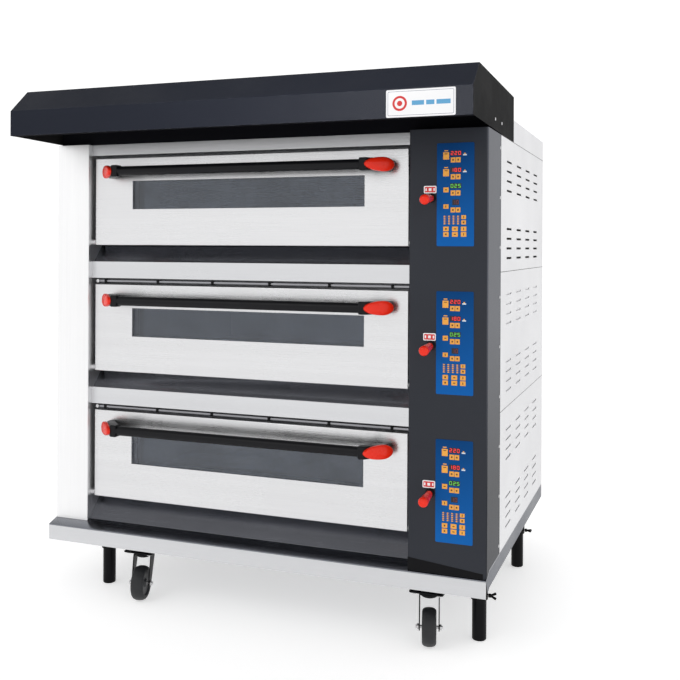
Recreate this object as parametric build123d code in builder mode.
from build123d import *
from math import cos, radians, sin
import os

# Three-deck electric bakery oven. Millimetres, +Z up, the doors face -Y and +X is the operator's
# right. The origin is on the floor, below the middle of the overall box.

# Overall sizes
overall_width = 1320.0
overall_depth = 1139.0
sheet = 1.5
deck_count = 3
deck_names = ("lower", "middle", "upper")

# Heights
base_clearance = 154.0
lip_height = 46.0
deck_rise = 14.5
door_lift = 67.5
door_height = 260.0
door_head_gap = 18.5
header_gap = 8.0
header_height = 32.0

# Front planes, all measured from the pillar's face
hood_reach = 212.0
lip_reach = 34.0
crease_inset = 10.0
housing_reach = 29.0
ledge_inset = 19.0
door_inset = 21.0
bay_depth = 69.0
strip_depth = 142.0

# Front widths
pillar_width = 112.0
housing_width = 206.0
housing_corner = 8.0
left_gap = 9.0
right_gap = 14.0

# Ledges between the decks
ledge_height = 49.0
ledge_drop = 49.0
ledge_flat = 7.0
front_sheet = 3.0

# Doors
door_depth = 45.0
door_corner = 3.0
window_left_margin = 130.0
window_right_margin = 124.0
window_lift = 106.5
window_height = 84.0
glass_thickness = 4.0
glass_inset = 7.0
hinge_inset = 10.0
hinge_pin_radius = 5.0
running_clearance = 0.05
hinge_pin_reach = 18.0
boss_length = 22.0

# Door handles
handle_radius = 13.5
handle_standoff = 60.0
handle_lift = 215.0
handle_left_margin = 49.0
handle_right_margin = 41.0
elbow_reach = 75.0
elbow_corner = 56.0
elbow_depth = 28.0
elbow_height = 34.0
elbow_round = 4.0
cap_length = 85.0
cap_height = 38.0
cap_thickness = 7.0
cap_round = 5.0

# Chambers
chamber_margin = 60.0
chamber_lift = 22.0
chamber_head = 28.0
chamber_rear_space = 130.0
hearth_thickness = 18.0
hearth_gap = 2.0
element_radius = 4.0
element_offset = 12.0
elements_per_side = 5
insulation_gap = 24.0
lamp_radius = 20.0
lamp_drop = 12.0
lamp_inset = 60.0

# Hood
hood_front_height = 70.0
hood_lift = 6.0
hood_chamfer_depth = 71.0
hood_chamfer_rise = 65.0
hood_cover = 338.0
hood_fall = 10.0
hood_flange = 22.0
top_box_height = 65.0

# Plates and keypads
name_plate_width = 170.0
name_plate_height = 66.0
name_plate_inset = 41.0
plate_thickness = 1.2
keypad_width = 96.5
keypad_height = 262.0
keypad_inset = 35.5
keypad_lift = 1.0
symbol_width = 34.0
symbol_height = 19.0
symbol_lift = 136.0

# Damper pulls
damper_inset = 146.0
damper_lift = 124.0
damper_droop = 6.0
damper_travel = 40.0
knob_length = 70.0
knob_base_radius = 8.5
knob_tip_radius = 13.5
damper_rod_radius = 4.0
damper_rod_reach = 60.0
bush_radius = 7.5
bush_flange_radius = 11.0
bush_length = 12.0

# Side panels and their louvres
panel_first_row = 63.0
louvre_row_pitch = 27.0
louvre_group_pitch = 187.0
louvre_length = 80.0
louvre_width = 6.0
louvre_column_pitch = 162.0
louvre_first_column = 270.0
louvre_rows = 4
louvre_columns = 4
rear_recess = 30.0
screw_radius = 4.0
screw_length = 12.0
screw_clearance = 0.1
housing_screws = 9
housing_screw_inset = 11.0

# Chassis, legs and castors
rail_width = 60.0
cross_rail_width = 40.0
rail_wall = 3.0
leg_radius = 19.0
leg_wall = 3.0
leg_top = 200.0
left_leg_inset = 128.0
right_leg_inset = 43.0
front_leg_inset = 92.0
rear_leg_inset = 238.0
sleeve_radius = 23.0
sleeve_bottom = 108.0
clamp_height = 118.0
clamp_screw_radius = 3.0
wing_length = 11.0
wing_radius = 3.0
wing_splay = 26.0
left_castor_inset = 291.0
right_castor_inset = 162.0
front_castor_inset = 30.0
rear_castor_inset = 174.0
castor_height = 140.0
castor_plate_length = 80.0
castor_plate_width = 92.0
castor_plate_thickness = 4.0
wheel_radius = 48.5
wheel_width = 38.0
wheel_floor_gap = 1.0
castor_trail = 28.0
axle_radius = 4.0
kingpin_radius = 6.0
fork_inner_width = 48.0
fork_thickness = 3.0
fork_leg_width = 26.0
castor_turn = 14.0

# Services
spigot_radius = 60.0
spigot_inset = 460.0
spigot_drop = 105.0
spigot_end_gap = 2.0
gland_radius = 20.0
gland_bore_radius = 10.0
gland_inset = 250.0
gland_lift = 80.0

# Positions worked out from the sizes
half_width = overall_width / 2
hood_front_y = -overall_depth / 2 + plate_thickness
rear_y = overall_depth / 2
face_y = -overall_depth / 2 + hood_reach
lip_y = face_y - lip_reach
crease_y = face_y + crease_inset
housing_y = face_y - housing_reach
ledge_y = face_y + ledge_inset
door_y = face_y + door_inset
bay_y = face_y + bay_depth
side_y = face_y + strip_depth
lip_top_z = base_clearance + lip_height
deck_z = lip_top_z + deck_rise
deck_pitch = door_height + door_head_gap + ledge_height + ledge_drop
chamber_height = door_height - chamber_lift - chamber_head
door_zs = [deck_z + door_lift + i * deck_pitch for i in range(deck_count)]
body_top_z = door_zs[-1] + door_height + header_gap + header_height
panel_zs = [deck_z + i * deck_pitch for i in range(deck_count)] + [body_top_z]
bay_left = -half_width + pillar_width
bay_right = half_width - housing_width
door_left = bay_left + left_gap
door_right = bay_right - right_gap
window_left = door_left + window_left_margin
window_right = door_right - window_right_margin
chamber_left = door_left + chamber_margin
chamber_right = door_right - chamber_margin
chamber_front_y = bay_y + front_sheet
chamber_rear_y = rear_y - chamber_rear_space
handle_y = door_y - handle_standoff
handle_left = door_left + handle_left_margin
handle_right = door_right - handle_right_margin
damper_x = half_width - damper_inset
rear_panel_y = rear_y - rear_recess
hood_rear_y = face_y + hood_cover
castor_angle = radians(castor_turn)
leg_xs = {"left": -half_width + left_leg_inset, "right": half_width - right_leg_inset}
leg_ys = {"front": face_y + front_leg_inset, "rear": rear_y - rear_leg_inset}
castor_xs = {"left": -half_width + left_castor_inset, "right": half_width - right_castor_inset}
castor_ys = {"front": face_y + front_castor_inset, "rear": rear_y - rear_castor_inset}
corners = [(end, side) for end in ("front", "rear") for side in ("left", "right")]

os.makedirs("parts", exist_ok=True)


def write_node(name, *pieces):
    """Label one finished node, of one solid or a group of separate ones, and write its STEP file."""
    node = pieces[0] if len(pieces) == 1 else Compound(children=list(pieces))
    node.label = name
    export_step(node, f"parts/{name}.step")


def span_box(xs, ys, zs, mode=Mode.ADD):
    """Add a box to the open part between two values on each axis."""
    centre = ((xs[0] + xs[1]) / 2, (ys[0] + ys[1]) / 2, (zs[0] + zs[1]) / 2)
    with Locations(centre):
        Box(xs[1] - xs[0], ys[1] - ys[0], zs[1] - zs[0], mode=mode)


def vertices_at(x, y):
    """The open sketch's corners that stand at one place."""
    return [v for v in vertices() if abs(v.X - x) < 0.01 and abs(v.Y - y) < 0.01]


def folded_sheet(plane, points, length, thickness=sheet, corner=0):
    """A folded sheet: an open profile thickened to its left and extruded along the plane's normal."""
    with BuildPart() as folded:
        with BuildSketch(plane):
            with BuildLine():
                if corner:
                    FilletPolyline(*points, radius=corner)
                else:
                    Polyline(*points)
                offset(amount=thickness, side=Side.LEFT)
            make_face()
        extrude(amount=length)
    return folded.part


# Chassis: two long rails, the leg sleeves welded below them and three cross rails
rail_zs = (base_clearance, deck_z - 2 * sheet)
rail_ends = (castor_ys["front"] - cross_rail_width / 2, castor_ys["rear"] + cross_rail_width / 2)
chassis = []
for side in ("left", "right"):
    with BuildPart() as long_rail:
        x = leg_xs[side]
        span_box((x - rail_width / 2, x + rail_width / 2), rail_ends, rail_zs)
        inner_half = rail_width / 2 - rail_wall
        inner_zs = (rail_zs[0] + rail_wall, rail_zs[1] - rail_wall)
        span_box((x - inner_half, x + inner_half), rail_ends, inner_zs, Mode.SUBTRACT)
        with BuildSketch(Plane.XY.offset(rail_zs[0])):
            with Locations(*[(x, y) for y in leg_ys.values()]):
                Circle(leg_radius + running_clearance)
        extrude(amount=rail_zs[1] - rail_zs[0], mode=Mode.SUBTRACT)
    chassis.append(long_rail.part)
    outward = -1 if side == "left" else 1
    for y in leg_ys.values():
        with BuildPart() as leg_sleeve:
            with BuildSketch(Plane.XY.offset(sleeve_bottom)):
                with Locations((x, y)):
                    Circle(sleeve_radius)
                    Circle(leg_radius + running_clearance, mode=Mode.SUBTRACT)
            extrude(amount=rail_zs[0] - sleeve_bottom)
            with BuildSketch(Plane(origin=(x, y, clamp_height), z_dir=(outward, 0, 0))):
                Circle(clamp_screw_radius + running_clearance)
            extrude(amount=sleeve_radius + 1, mode=Mode.SUBTRACT)
        chassis.append(leg_sleeve.part)
cross_xs = (leg_xs["left"] + rail_width / 2, leg_xs["right"] - rail_width / 2)
for y in (castor_ys["front"], (castor_ys["front"] + castor_ys["rear"]) / 2, castor_ys["rear"]):
    with BuildPart() as cross_rail:
        span_box(cross_xs, (y - cross_rail_width / 2, y + cross_rail_width / 2), rail_zs)
        inner_ys = (y - cross_rail_width / 2 + rail_wall, y + cross_rail_width / 2 - rail_wall)
        span_box(cross_xs, inner_ys, inner_zs, Mode.SUBTRACT)
    chassis.append(cross_rail.part)
write_node("base_frame", *chassis)

# Castor top plates with their swivel bearings, each on a spacer pad below a cross rail
bearing_radius = 25.0
bearing_depth = 7.0
pad_inset = 10.0
nut_room = 14.0
plate_z = castor_height - castor_plate_thickness
castor_plates = []
for end, side in corners:
    x, y = castor_xs[side], castor_ys[end]
    with BuildPart() as castor_plate:
        half_length, half_plate = castor_plate_length / 2, castor_plate_width / 2
        plate_xs, plate_ys = (x - half_plate, x + half_plate), (y - half_length, y + half_length)
        span_box(plate_xs, plate_ys, (plate_z, castor_height))
        with BuildSketch(Plane.XY.offset(plate_z)):
            with Locations((x, y)):
                Circle(bearing_radius)
        extrude(amount=-bearing_depth)
        pad_zs = (castor_height, base_clearance)
        pad_half = half_plate - pad_inset
        span_box((x - pad_half, x + pad_half), (y - cross_rail_width / 2, y + cross_rail_width / 2), pad_zs)
        with BuildSketch(Plane.XY.offset(castor_height)):
            with Locations((x, y)):
                Circle(nut_room)
        extrude(amount=base_clearance - castor_height, mode=Mode.SUBTRACT)
        with BuildSketch(Plane.XY.offset(plate_z - bearing_depth)):
            with Locations((x, y)):
                Circle(kingpin_radius + running_clearance)
        extrude(amount=bearing_depth + castor_plate_thickness, mode=Mode.SUBTRACT)
    castor_plates.append(castor_plate.part)
write_node("castor_plates", *castor_plates)

# Swivel castors: fork with its kingpin and axle bolt, and the wheel on the bolt
swivel_gap = 0.3
fork_top_z = plate_z - bearing_depth - swivel_gap
axle_z = wheel_floor_gap + wheel_radius
axle_reach = fork_inner_width / 2 + fork_thickness + 8.0
axle_head_radius = 7.0
axle_head_length = 5.0
fork_disc_radius = 28.0
for end, side in corners:
    facing = 1 if end == "front" else -1
    turn = castor_angle * facing
    upright = Plane(
        origin=(castor_xs[side], castor_ys[end], 0),
        x_dir=(cos(turn) * facing, sin(turn) * facing, 0),
        z_dir=(0, 0, 1),
    )
    axle_plane = Plane(
        origin=upright.from_local_coords((0, -castor_trail, axle_z)),
        x_dir=upright.y_dir,
        z_dir=upright.x_dir,
    )
    with BuildPart() as fork:
        with BuildSketch(upright.offset(fork_top_z - fork_thickness)):
            Circle(fork_disc_radius)
        extrude(amount=fork_thickness)
        for hand in (-1, 1):
            with BuildSketch(axle_plane.offset(hand * fork_inner_width / 2)):
                with BuildLine():
                    leg_rise = fork_top_z - axle_z
                    half_leg = fork_leg_width / 2
                    top_front = (castor_trail - half_leg, leg_rise)
                    top_rear = (castor_trail + half_leg, leg_rise)
                    foot_front = (-half_leg * 0.7, -half_leg * 0.7)
                    foot_rear = (half_leg * 0.7, -half_leg * 0.7)
                    Polyline(top_front, (-half_leg, 0), foot_front, foot_rear, (half_leg, 0), top_rear,
                             close=True)
                make_face()
            extrude(amount=hand * fork_thickness)
        with BuildSketch(upright.offset(fork_top_z)):
            Circle(kingpin_radius)
        extrude(amount=castor_height - fork_top_z + 6)
        with BuildSketch(upright.offset(castor_height + swivel_gap)):
            RegularPolygon(kingpin_radius + 4, 6)
        extrude(amount=6)
        with BuildSketch(axle_plane.offset(-axle_reach)):
            Circle(axle_radius)
        extrude(amount=2 * axle_reach)
        for hand in (-1, 1):
            with BuildSketch(axle_plane.offset(hand * (fork_inner_width / 2 + fork_thickness))):
                RegularPolygon(axle_head_radius, 6)
            extrude(amount=hand * axle_head_length)
    write_node(f"{end}_{side}_castor_fork", fork.part)
    with BuildPart() as wheel:
        half_tread = wheel_width / 2
        hub_half = fork_inner_width / 2 - 0.5
        boss_radius = 14.0
        rim_radius = wheel_radius - 14
        with BuildSketch(Plane(origin=axle_plane.origin, x_dir=axle_plane.z_dir, z_dir=axle_plane.x_dir)):
            with BuildLine():
                bore = axle_radius + running_clearance
                Polyline(
                    (half_tread - 3, rim_radius),
                    (8, rim_radius - 4),
                    (8, boss_radius + 3),
                    (hub_half, boss_radius),
                    (hub_half, bore),
                    (-hub_half, bore),
                    (-hub_half, boss_radius),
                    (-8, boss_radius + 3),
                    (-8, rim_radius - 4),
                    (3 - half_tread, rim_radius),
                )
                Spline(
                    (3 - half_tread, rim_radius),
                    (-half_tread, rim_radius + 5),
                    (0, wheel_radius),
                    (half_tread, rim_radius + 5),
                    (half_tread - 3, rim_radius),
                )
            make_face()
        revolve(axis=Axis(axle_plane.origin, axle_plane.z_dir))
    write_node(f"{end}_{side}_castor_wheel", wheel.part)

# Support legs with closed feet, and the wing screws that clamp them
foot_round = 3.0
tip_gap = 0.4
clamp_stub = 11.0
hub_radius = 5.0
hub_length = 6.0
for end, side in corners:
    with BuildPart() as leg:
        with BuildSketch(Plane.XY):
            with Locations((leg_xs[side], leg_ys[end])):
                Circle(leg_radius)
        extrude(amount=leg_top)
        fillet(leg.edges().sort_by(Axis.Z)[0], foot_round)
        with BuildSketch(Plane.XY.offset(leg_top)):
            with Locations((leg_xs[side], leg_ys[end])):
                Circle(leg_radius - leg_wall)
        extrude(amount=-(leg_top - 10), mode=Mode.SUBTRACT)
    write_node(f"{end}_{side}_leg", leg.part)
    outward = -1 if side == "left" else 1
    wing_tilt = (0, 0, 1) if end == "front" else (0, 1, 0)
    clamp_origin = Vector(leg_xs[side], leg_ys[end], clamp_height)
    clamp_plane = Plane(origin=clamp_origin, x_dir=wing_tilt, z_dir=(outward, 0, 0))
    with BuildPart() as clamp:
        with BuildSketch(clamp_plane.offset(leg_radius + tip_gap)):
            Circle(clamp_screw_radius)
        extrude(amount=clamp_stub)
        hub = Vector(clamp_plane.offset(leg_radius + clamp_stub).origin)
        with BuildSketch(clamp_plane.offset(leg_radius + clamp_stub - hub_length)):
            Circle(hub_radius)
        extrude(amount=hub_length + 1)
        for hand in (-1, 1):
            splay = radians(wing_splay) * hand
            along = clamp_plane.z_dir * cos(splay) + clamp_plane.x_dir * sin(splay)
            with BuildSketch(Plane(origin=hub, z_dir=along)):
                Circle(wing_radius)
            extrude(amount=wing_length)
    write_node(f"{end}_{side}_clamp_screw", clamp.part)

# Base deck: a plate that slopes up behind the front lip and lies flat below the body
deck_profile = [(lip_y, lip_top_z), (crease_y, deck_z), (rear_y, deck_z)]
with BuildPart() as base_deck:
    with BuildSketch(Plane.YZ.offset(-half_width)):
        with BuildLine():
            Polyline(*deck_profile, (rear_y, deck_z - 2 * sheet), (crease_y, deck_z - 2 * sheet),
                     (lip_y, lip_top_z - 2 * sheet), close=True)
        make_face()
    extrude(amount=overall_width)
write_node("base_deck", base_deck.part)

# Base skirt: the front lip and the lower strips along both sides and the rear
strip_bottom = base_clearance + 16
front_lip = folded_sheet(
    Plane.YZ.offset(-half_width),
    [(lip_y, lip_top_z - 2 * sheet), (lip_y, base_clearance), (lip_y + 24, base_clearance)],
    overall_width,
)
skirt = [front_lip]
for outer in (-half_width, half_width - sheet):
    with BuildPart() as side_strip:
        with BuildSketch(Plane.YZ.offset(outer)):
            with BuildLine():
                Polyline((lip_y + sheet, base_clearance + sheet), (lip_y + sheet, lip_top_z - 2 * sheet),
                         (crease_y, deck_z - 2 * sheet), (rear_y, deck_z - 2 * sheet),
                         (rear_y, strip_bottom), (crease_y, strip_bottom), close=True)
            make_face()
        extrude(amount=sheet)
    skirt.append(side_strip.part)
with BuildPart() as rear_strip:
    span_box((-half_width + sheet, half_width - sheet), (rear_y - sheet, rear_y),
             (strip_bottom, deck_z - 2 * sheet))
skirt.append(rear_strip.part)
write_node("base_skirt", *skirt)

# Left pillar and right-hand control housing, both cut to the deck's slope at the foot
deck_cut = deck_profile + [(rear_y, base_clearance - 50), (lip_y - 50, base_clearance - 50),
                           (lip_y - 50, lip_top_z)]
column_length = body_top_z - base_clearance
with BuildPart() as left_pillar:
    add(folded_sheet(
        Plane.XY.offset(base_clearance),
        [(-half_width, side_y), (-half_width, face_y), (bay_left, face_y), (bay_left, bay_y)],
        column_length, corner=sheet * 2,
    ))
    with BuildSketch(Plane.YZ.offset(-half_width)):
        with BuildLine():
            Polyline(*deck_cut, close=True)
        make_face()
    extrude(amount=pillar_width, mode=Mode.SUBTRACT)
write_node("left_pillar", left_pillar.part)

droop = radians(damper_droop)
damper_out = Vector(0, -cos(droop), -sin(droop))
damper_seats = [Vector(damper_x, housing_y, z + damper_lift) for z in door_zs]
top_screw_z = body_top_z - 36
low_screw_z = deck_z + 24
screw_step = (top_screw_z - low_screw_z) / (housing_screws - 1)
screw_seats = [(side_y - housing_screw_inset, top_screw_z - i * screw_step) for i in range(housing_screws)]
hood_screw_z = body_top_z + 31
hood_screw_seats = [(face_y + 58, hood_screw_z), (face_y + 149, hood_screw_z)]
with BuildPart() as control_housing:
    add(folded_sheet(
        Plane.XY.offset(base_clearance),
        [(bay_right, bay_y), (bay_right, housing_y), (half_width, housing_y), (half_width, side_y)],
        column_length, corner=housing_corner,
    ))
    with BuildSketch(Plane.YZ.offset(bay_right)):
        with BuildLine():
            Polyline(*deck_cut, close=True)
        make_face()
    extrude(amount=housing_width, mode=Mode.SUBTRACT)
    for seat in damper_seats:
        with BuildSketch(Plane(origin=seat - damper_out * 15, z_dir=damper_out)):
            Circle(bush_radius)
        extrude(amount=30, mode=Mode.SUBTRACT)
    with BuildSketch(Plane.YZ.offset(half_width)):
        with Locations(*screw_seats):
            Circle(screw_radius + screw_clearance)
    extrude(amount=-2 * sheet, mode=Mode.SUBTRACT)
write_node("control_housing", control_housing.part)

# Countersunk screws of the housing's side strip and of the hood's end plates, heads flush
with BuildPart() as panel_screws:
    for outward, seats in ((1, screw_seats + hood_screw_seats), (-1, hood_screw_seats)):
        side_plane = Plane(origin=(outward * half_width, 0, 0), x_dir=(0, 1, 0), z_dir=(1, 0, 0))
        with BuildSketch(side_plane):
            with Locations(*seats):
                Circle(screw_radius)
        extrude(amount=-outward * sheet)
        with BuildSketch(side_plane):
            with Locations(*seats):
                Circle(screw_radius / 2)
        extrude(amount=-outward * screw_length)
write_node("panel_screws", panel_screws.part)

# Ledge lips below the upper doors, and the header strip above the top one
bay_width = bay_right - bay_left
ledges = []
for z in door_zs[1:]:
    top = z - ledge_drop
    ledges.append(folded_sheet(
        Plane.YZ.offset(bay_left),
        [(ledge_y + ledge_flat, top), (ledge_y, top), (ledge_y, top - ledge_height),
         (bay_y, top - ledge_height)],
        bay_width,
    ))
ledges.append(folded_sheet(
    Plane.YZ.offset(bay_left),
    [(bay_y, body_top_z), (ledge_y, body_top_z), (ledge_y, body_top_z - header_height),
     (bay_y, body_top_z - header_height)],
    bay_width,
))
write_node("ledge_lips", *ledges)

# Sill slopes: the apron behind the base deck and one slope behind each ledge lip
apron_profile = [(bay_y, door_zs[0]), (crease_y + 2, deck_z + 1)]
slopes = [folded_sheet(Plane.YZ.offset(bay_left), apron_profile, bay_width)]
for z in door_zs[1:]:
    slope_foot = (ledge_y + ledge_flat + sheet, z - ledge_drop)
    slopes.append(folded_sheet(Plane.YZ.offset(bay_left), [(bay_y, z), slope_foot], bay_width))
write_node("sill_slopes", *slopes)

# Chamber fronts: four strips round each mouth, behind the doors
fronts, liners, hearths, lamps = [], [], [], []
for z in door_zs:
    floor_z = z + chamber_lift
    ceiling_z = floor_z + chamber_height
    bay_top = z + door_height + (header_gap if z == door_zs[-1] else door_head_gap)
    strips = [
        ((bay_left, bay_right), (z, floor_z)),
        ((bay_left, bay_right), (ceiling_z, bay_top)),
        ((bay_left, chamber_left), (floor_z, ceiling_z)),
        ((chamber_right, bay_right), (floor_z, ceiling_z)),
    ]
    for xs, zs in strips:
        with BuildPart() as strip:
            span_box(xs, (bay_y, chamber_front_y), zs)
        fronts.append(strip.part)
    liner_xs = (chamber_left - sheet, chamber_right + sheet)
    liner_ys = (chamber_front_y, chamber_rear_y)
    walls = [
        (liner_xs, liner_ys, (floor_z - sheet, floor_z)),
        (liner_xs, liner_ys, (ceiling_z, ceiling_z + sheet)),
        ((chamber_left - sheet, chamber_left), liner_ys, (floor_z, ceiling_z)),
        ((chamber_right, chamber_right + sheet), liner_ys, (floor_z, ceiling_z)),
        ((chamber_left, chamber_right), (chamber_rear_y - sheet, chamber_rear_y), (floor_z, ceiling_z)),
    ]
    for xs, ys, zs in walls:
        with BuildPart() as wall:
            span_box(xs, ys, zs)
        liners.append(wall.part)
    with BuildPart() as hearth:
        span_box((chamber_left + hearth_gap, chamber_right - hearth_gap),
                 (chamber_front_y + hearth_gap, chamber_rear_y - sheet - hearth_gap),
                 (floor_z, floor_z + hearth_thickness))
    hearths.append(hearth.part)
    with BuildPart() as lamp:
        with BuildSketch(Plane.XY.offset(ceiling_z)):
            with Locations((chamber_right - lamp_inset, chamber_front_y + lamp_inset)):
                Circle(lamp_radius)
        extrude(amount=-lamp_drop)
        fillet(lamp.edges().sort_by(Axis.Z)[0], lamp_drop / 2)
    lamps.append(lamp.part)
write_node("chamber_fronts", *fronts)
write_node("chamber_liners", *liners)
write_node("hearth_plates", *hearths)
write_node("chamber_lamps", *lamps)

# Heating elements: rods across each chamber, under its floor and over its ceiling
element_step = (chamber_rear_y - chamber_front_y) / elements_per_side
with BuildPart() as heating_elements:
    for z in door_zs:
        floor_z = z + chamber_lift
        element_zs = (floor_z - element_offset, floor_z + chamber_height + element_offset)
        seats = [(chamber_front_y + (i + 0.5) * element_step, level)
                 for i in range(elements_per_side) for level in element_zs]
        with BuildSketch(Plane.YZ.offset(chamber_left)):
            with Locations(*seats):
                Circle(element_radius)
        extrude(amount=chamber_right - chamber_left)
write_node("heating_elements", heating_elements.part)

# Insulation: slabs under, between and over the chambers, and one down each side
slab_levels = [deck_z + 10]
for z in door_zs:
    slab_levels += [z + chamber_lift - insulation_gap, z + chamber_lift + chamber_height + insulation_gap]
slab_levels.append(body_top_z - 4)
with BuildPart() as insulation_slabs:
    for low, high in zip(slab_levels[0::2], slab_levels[1::2]):
        span_box((chamber_left, chamber_right), (chamber_front_y + 16, chamber_rear_y), (low, high))
    slab_ys = (side_y + 40, chamber_rear_y)
    slab_zs = (deck_z + 10, body_top_z - 4)
    span_box((chamber_left - 50, chamber_left - 6), slab_ys, slab_zs)
    span_box((chamber_right + 6, chamber_right + 50), slab_ys, slab_zs)
write_node("insulation_slabs", insulation_slabs.part)

# Inner frame: four corner posts, each a square tube from the base deck to the body's top
post_size = 30.0
with BuildPart() as inner_frame:
    for x in (-half_width + 4 + post_size / 2, half_width - 4 - post_size / 2):
        for y in (side_y + post_size / 2, rear_panel_y - 6 - post_size / 2):
            with BuildSketch(Plane.XY.offset(deck_z)):
                with Locations((x, y)):
                    Rectangle(post_size, post_size)
                    Rectangle(post_size - 4, post_size - 4, mode=Mode.SUBTRACT)
            extrude(amount=body_top_z - deck_z)
write_node("inner_frame", inner_frame.part)

# Side panels: three stacked sheets a side, each with two groups of louvre slits
side_panels = []
for outer in (-half_width, half_width - sheet):
    for low, high in zip(panel_zs, panel_zs[1:]):
        with BuildPart() as side_panel:
            span_box((outer, outer + sheet), (side_y, rear_y), (low, high))
            slits = []
            for group in range(2):
                for row in range(louvre_rows):
                    slit_z = high - panel_first_row - group * louvre_group_pitch - row * louvre_row_pitch
                    for column in range(louvre_columns):
                        slits.append((face_y + louvre_first_column + column * louvre_column_pitch, slit_z))
            with BuildSketch(Plane.YZ.offset(outer)):
                with Locations(*[slit for slit in slits if slit[0] + louvre_length / 2 < rear_y - 20]):
                    SlotOverall(louvre_length, louvre_width)
            extrude(amount=sheet, mode=Mode.SUBTRACT)
        side_panels.append(side_panel.part)
write_node("side_panels", *side_panels)

# Rear panels, set in from the side panels' rear edges, with the holes of the two services
spigot_seat = (-half_width + spigot_inset, body_top_z - spigot_drop)
gland_seat = (half_width - gland_inset, deck_z + gland_lift)
flue_radius = spigot_radius - sheet
gland_neck = 12.5
rear_plane = Plane.XZ.offset(-rear_panel_y)
rear_panels = []
for low, high in zip(panel_zs, panel_zs[1:]):
    with BuildPart() as rear_panel:
        span_box((-half_width + sheet, half_width - sheet), (rear_panel_y - sheet, rear_panel_y), (low, high))
        for seat, hole in ((spigot_seat, flue_radius), (gland_seat, gland_neck)):
            if low < seat[1] < high:
                with BuildSketch(rear_plane):
                    with Locations(seat):
                        Circle(hole)
                extrude(amount=sheet, mode=Mode.SUBTRACT)
    rear_panels.append(rear_panel.part)
write_node("rear_panels", *rear_panels)

# Steam outlet: a flat duct behind the chambers, a flue through the rear panel and the wider spigot
duct_half = 80.0
duct_ys = (chamber_rear_y + 6, rear_panel_y - 40)
with BuildPart() as steam_duct:
    duct_xs = (spigot_seat[0] - duct_half, spigot_seat[0] + duct_half)
    duct_zs = (door_zs[0] + chamber_lift + 60, body_top_z - 10)
    span_box(duct_xs, duct_ys, duct_zs)
    span_box((duct_xs[0] + sheet, duct_xs[1] - sheet), (duct_ys[0] + sheet, duct_ys[1] - sheet),
             (duct_zs[0], duct_zs[1] - sheet), Mode.SUBTRACT)
    with BuildSketch(Plane.XZ.offset(-duct_ys[1])):
        with Locations(spigot_seat):
            Circle(flue_radius)
    extrude(amount=-(rear_panel_y - duct_ys[1]))
    with BuildSketch(rear_plane):
        with Locations(spigot_seat):
            Circle(spigot_radius)
    extrude(amount=-(rear_y - spigot_end_gap - rear_panel_y))
    with BuildSketch(Plane.XZ.offset(-duct_ys[1] + 2 * sheet)):
        with Locations(spigot_seat):
            Circle(flue_radius - sheet)
    extrude(amount=-(rear_y - duct_ys[1] + 4 * sheet), mode=Mode.SUBTRACT)
write_node("steam_outlet", steam_duct.part)

# Mains cable gland on the lowest rear panel
with BuildPart() as mains_gland:
    with BuildSketch(rear_plane):
        with Locations(gland_seat):
            Circle(gland_radius)
    extrude(amount=-(rear_recess - 4))
    with BuildSketch(rear_plane):
        with Locations(gland_seat):
            Circle(gland_neck)
    extrude(amount=8)
    with BuildSketch(rear_plane.offset(8)):
        with Locations(gland_seat):
            Circle(gland_bore_radius)
    extrude(amount=-(rear_recess + 8), mode=Mode.SUBTRACT)
write_node("mains_gland", mains_gland.part)

# Hood: the folded shell between two end plates, and the baffle at the back of its mouth
hood_bottom_z = body_top_z + hood_lift
hood_crease_z = hood_bottom_z + hood_front_height
hood_ridge = (hood_front_y + hood_chamfer_depth, hood_crease_z + hood_chamfer_rise)
hood_outline = [(hood_front_y, hood_bottom_z), (hood_front_y, hood_crease_z), hood_ridge,
                (hood_rear_y, hood_ridge[1] - hood_fall), (hood_rear_y, body_top_z)]
hood_sheet = folded_sheet(
    Plane.YZ.offset(-half_width + sheet),
    hood_outline[::-1] + [(hood_front_y + hood_flange, hood_bottom_z)],
    overall_width - 2 * sheet,
)
end_plates = []
for outer in (-half_width, half_width - sheet):
    with BuildPart() as end_plate:
        with BuildSketch(Plane.YZ.offset(outer)):
            with BuildLine():
                Polyline(*hood_outline, (side_y, body_top_z), close=True)
            make_face()
        extrude(amount=sheet)
        with BuildSketch(Plane.YZ.offset(outer)):
            with Locations(*hood_screw_seats):
                Circle(screw_radius + screw_clearance)
        extrude(amount=sheet, mode=Mode.SUBTRACT)
    end_plates.append(end_plate.part)
write_node("hood_shell", hood_sheet, *end_plates)

with BuildPart() as hood_baffle:
    span_box((-half_width + 2 * sheet, half_width - 2 * sheet), (ledge_y, ledge_y + sheet),
             (body_top_z, hood_ridge[1] - hood_fall - 2 * sheet))
write_node("hood_baffle", hood_baffle.part)

# Top box: the white cover behind the hood, open below
with BuildPart() as top_box:
    span_box((-half_width, half_width), (hood_rear_y, rear_y), (body_top_z, body_top_z + top_box_height))
    span_box((-half_width + sheet, half_width - sheet), (hood_rear_y + sheet, rear_y - sheet),
             (body_top_z, body_top_z + top_box_height - sheet), Mode.SUBTRACT)
write_node("top_box", top_box.part)

# Blank name plate on the hood, and the small symbol plate beside each damper
with BuildPart() as name_plate:
    plate_right = half_width - name_plate_inset
    span_box((plate_right - name_plate_width, plate_right), (hood_front_y - plate_thickness, hood_front_y),
             (hood_bottom_z + 1, hood_bottom_z + 1 + name_plate_height))
keypad_right = half_width - keypad_inset
keypad_left = keypad_right - keypad_width
symbol_plates = []
for z in door_zs:
    with BuildPart() as symbol_plate:
        span_box((keypad_left - symbol_width, keypad_left - 1), (housing_y - 1, housing_y),
                 (z + symbol_lift, z + symbol_lift + symbol_height))
    symbol_plates.append(symbol_plate.part)
write_node("label_plates", name_plate.part, *symbol_plates)

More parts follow.
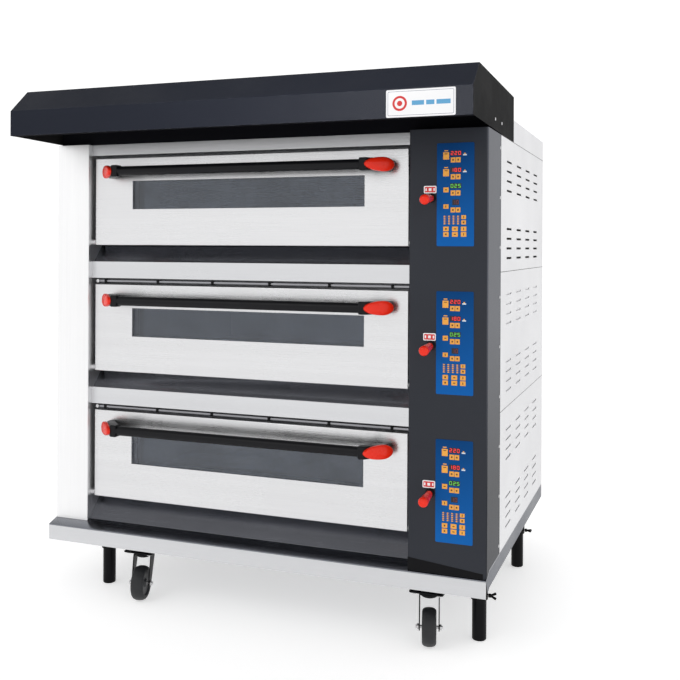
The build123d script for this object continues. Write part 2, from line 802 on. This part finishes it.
# Membrane keypads, one for each deck
with BuildPart() as keypads:
    for z in door_zs:
        span_box((keypad_left, keypad_right), (housing_y - 1, housing_y),
                 (z + keypad_lift, z + keypad_lift + keypad_height))
write_node("keypads", keypads.part)

# Control boards behind the keypads, each with its transformer and relays
board_y = housing_y + 24
board_thickness = 1.6
relay_count = 4
relay_pitch = 34.0
with BuildPart() as control_boards:
    for z in door_zs:
        board_z = z + keypad_lift
        board_zs = (board_z + 10, board_z + keypad_height - 10)
        span_box((keypad_left, keypad_right), (board_y, board_y + board_thickness), board_zs)
        transformer_ys = (board_y + board_thickness, board_y + 32)
        span_box((keypad_left + 8, keypad_left + 44), transformer_ys, (board_z + 20, board_z + 60))
        for i in range(relay_count):
            low = board_z + 80 + i * relay_pitch
            relay_ys = (board_y + board_thickness, board_y + 20)
            span_box((keypad_left + 10, keypad_left + 38), relay_ys, (low, low + 24))
write_node("control_boards", control_boards.part)

# Switchgear: a mounting rail with one contactor for each pair of elements, and the mains terminals
gear_y = bay_y + 20
gear_xs = (bay_right + 20, half_width - 40)
contactor_count = 3
contactor_width = 45.0
contactor_pitch = 46.0
with BuildPart() as mounting_rail:
    span_box(gear_xs, (gear_y + 70, gear_y + 76), (deck_z + 40, deck_z + 75))
switchgear = [mounting_rail.part]
for i in range(contactor_count):
    with BuildPart() as contactor:
        low = gear_xs[0] + 4 + i * contactor_pitch
        span_box((low, low + contactor_width), (gear_y, gear_y + 70), (deck_z + 18, deck_z + 98))
        span_box((low + 8, low + 37), (gear_y - 8, gear_y), (deck_z + 40, deck_z + 76))
    switchgear.append(contactor.part)
with BuildPart() as terminals:
    terminal_x = gland_seat[0]
    terminal_ys = (rear_panel_y - 70, rear_panel_y - 40)
    span_box((terminal_x - 50, terminal_x + 50), terminal_ys, (deck_z + 20, deck_z + 60))
switchgear.append(terminals.part)
write_node("switchgear", *switchgear)

# Damper bushes in the housing's face, each square to its tilted rod
bushes = []
for seat in damper_seats:
    with BuildPart() as bush:
        with BuildSketch(Plane(origin=seat - damper_out * 6, z_dir=damper_out)):
            Circle(bush_flange_radius)
        extrude(amount=6 + bush_length / 2)
        split(bisect_by=Plane(origin=seat, z_dir=(0, -1, 0)), keep=Keep.TOP)
        with BuildSketch(Plane(origin=seat - damper_out * bush_length, z_dir=damper_out)):
            Circle(bush_radius)
        extrude(amount=bush_length + 2)
        with BuildSketch(Plane(origin=seat - damper_out * 2 * bush_length, z_dir=damper_out)):
            Circle(damper_rod_radius + running_clearance)
        extrude(amount=4 * bush_length, mode=Mode.SUBTRACT)
    bushes.append(bush.part)
write_node("damper_bushes", *bushes)

# Damper pulls: a tapered knob on a rod
knob_gap = 1.0
for name, seat in zip(deck_names, damper_seats):
    knob_seat = seat + damper_out * (bush_length / 2 + knob_gap)
    with BuildPart() as damper:
        with BuildSketch(Plane(origin=seat - damper_out * damper_rod_reach, z_dir=damper_out)):
            Circle(damper_rod_radius)
        extrude(amount=damper_rod_reach + bush_length / 2 + knob_gap + 10)
        with BuildSketch(Plane(origin=knob_seat, z_dir=damper_out)):
            Circle(knob_base_radius)
        with BuildSketch(Plane(origin=knob_seat + damper_out * knob_length, z_dir=damper_out)):
            Circle(knob_tip_radius)
        loft()
        fillet(damper.edges().sort_by(Axis.Y)[0], 5)
    write_node(f"{name}_damper", damper.part)

# Hinge pins, each with a washer that fills most of the gap beside its door
washer_radius = 9.0
washer_gap = 0.5
hinge_y = door_y + hinge_inset
hinge_pins = []
for z in door_zs:
    for wall_x, door_x, inward in ((bay_left, door_left, 1), (bay_right, door_right, -1)):
        pin_plane = Plane(origin=(wall_x, hinge_y, z + hinge_inset), z_dir=(inward, 0, 0))
        gap = abs(door_x - wall_x)
        with BuildPart() as pin:
            with BuildSketch(pin_plane):
                Circle(hinge_pin_radius)
            extrude(amount=gap + hinge_pin_reach)
            with BuildSketch(pin_plane):
                Circle(washer_radius)
            extrude(amount=gap - washer_gap)
        hinge_pins.append(pin.part)
write_node("hinge_pins", *hinge_pins)

# Doors: front pan with its window tunnel, rear pan, two panes, handle bar on mitred elbows with oval caps
bar_left = handle_left + elbow_reach
bar_right = handle_right - elbow_reach
elbow_front = handle_y - handle_radius - 1
elbow_bend = elbow_corner + elbow_depth * (2 ** 0.5 - 1)
for name, z in zip(deck_names, door_zs):
    door_xs, door_zspan = (door_left, door_right), (z, z + door_height)
    window_zs = (z + window_lift, z + window_lift + window_height)
    rear_face = door_y + door_depth
    with BuildPart() as front_pan:
        span_box(door_xs, (door_y, rear_face - sheet), door_zspan)
        fillet(front_pan.faces().sort_by(Axis.Y)[0].edges(), door_corner)
        span_box((door_left + sheet, door_right - sheet), (door_y + sheet, rear_face - sheet),
                 (z + sheet, z + door_height - sheet), Mode.SUBTRACT)
        span_box((window_left - sheet, window_right + sheet), (door_y + sheet, rear_face - sheet),
                 (window_zs[0] - sheet, window_zs[1] + sheet))
        span_box((window_left, window_right), (door_y, rear_face), window_zs, Mode.SUBTRACT)
        for edge_x, inward in ((door_left, 1), (door_right, -1)):
            boss_xs = sorted((edge_x + inward * sheet, edge_x + inward * boss_length))
            span_box(boss_xs, (door_y + sheet, hinge_y + 9), (z + sheet, z + hinge_inset + 9))
            with BuildSketch(Plane(origin=(edge_x, hinge_y, z + hinge_inset), z_dir=(inward, 0, 0))):
                Circle(hinge_pin_radius + running_clearance)
            extrude(amount=hinge_pin_reach + 1, mode=Mode.SUBTRACT)
    with BuildPart() as rear_pan:
        span_box(door_xs, (rear_face - sheet, rear_face), door_zspan)
        span_box((window_left, window_right), (door_y, rear_face), window_zs, Mode.SUBTRACT)
    write_node(f"{name}_door_shell", front_pan.part, rear_pan.part)
    with BuildPart() as panes:
        for low in (door_y + glass_inset, rear_face - glass_inset - glass_thickness):
            span_box((window_left, window_right), (low, low + glass_thickness), window_zs)
    write_node(f"{name}_door_glass", panes.part)
    handle_z = z + handle_lift
    with BuildPart() as bar:
        with BuildSketch(Plane(origin=(bar_left, handle_y, handle_z), z_dir=(1, 0, 0))):
            Circle(handle_radius)
        extrude(amount=bar_right - bar_left)
    elbows, caps = [], []
    for end_x, inward in ((handle_left, 1), (handle_right, -1)):
        elbow_path = [(elbow_reach, 0), (elbow_corner, 0), (0, elbow_corner), (0, door_y - elbow_front),
                      (elbow_depth, door_y - elbow_front), (elbow_depth, elbow_bend),
                      (elbow_bend, elbow_depth), (elbow_reach, elbow_depth)]
        with BuildPart() as elbow:
            with BuildSketch(Plane.XY.offset(handle_z - elbow_height / 2)):
                with BuildLine():
                    Polyline(*[(end_x + inward * x, elbow_front + y) for x, y in elbow_path], close=True)
                make_face()
            extrude(amount=elbow_height)
            long_edges = [edge for edge in elbow.edges().filter_by(Plane.XY)
                          if elbow_front - 1 < edge.center().Y < elbow_front + elbow_depth - 1
                          and abs(edge.center().X - end_x) > 1]
            fillet(long_edges, elbow_round)
        elbows.append(elbow.part)
        slant_middle = (end_x + inward * elbow_corner / 2, elbow_front + elbow_corner / 2, handle_z)
        slant_plane = Plane(origin=slant_middle, x_dir=(inward, -1, 0), z_dir=(-inward, -1, 0))
        with BuildPart() as cap:
            with BuildSketch(slant_plane):
                Ellipse(cap_length / 2, cap_height / 2)
            extrude(amount=cap_thickness)
            fillet(cap.faces().sort_by(Axis(slant_middle, slant_plane.z_dir))[-1].edges(), cap_round)
        caps.append(cap.part)
    write_node(f"{name}_door_handle", bar.part, *elbows)
    write_node(f"{name}_door_caps", *caps)
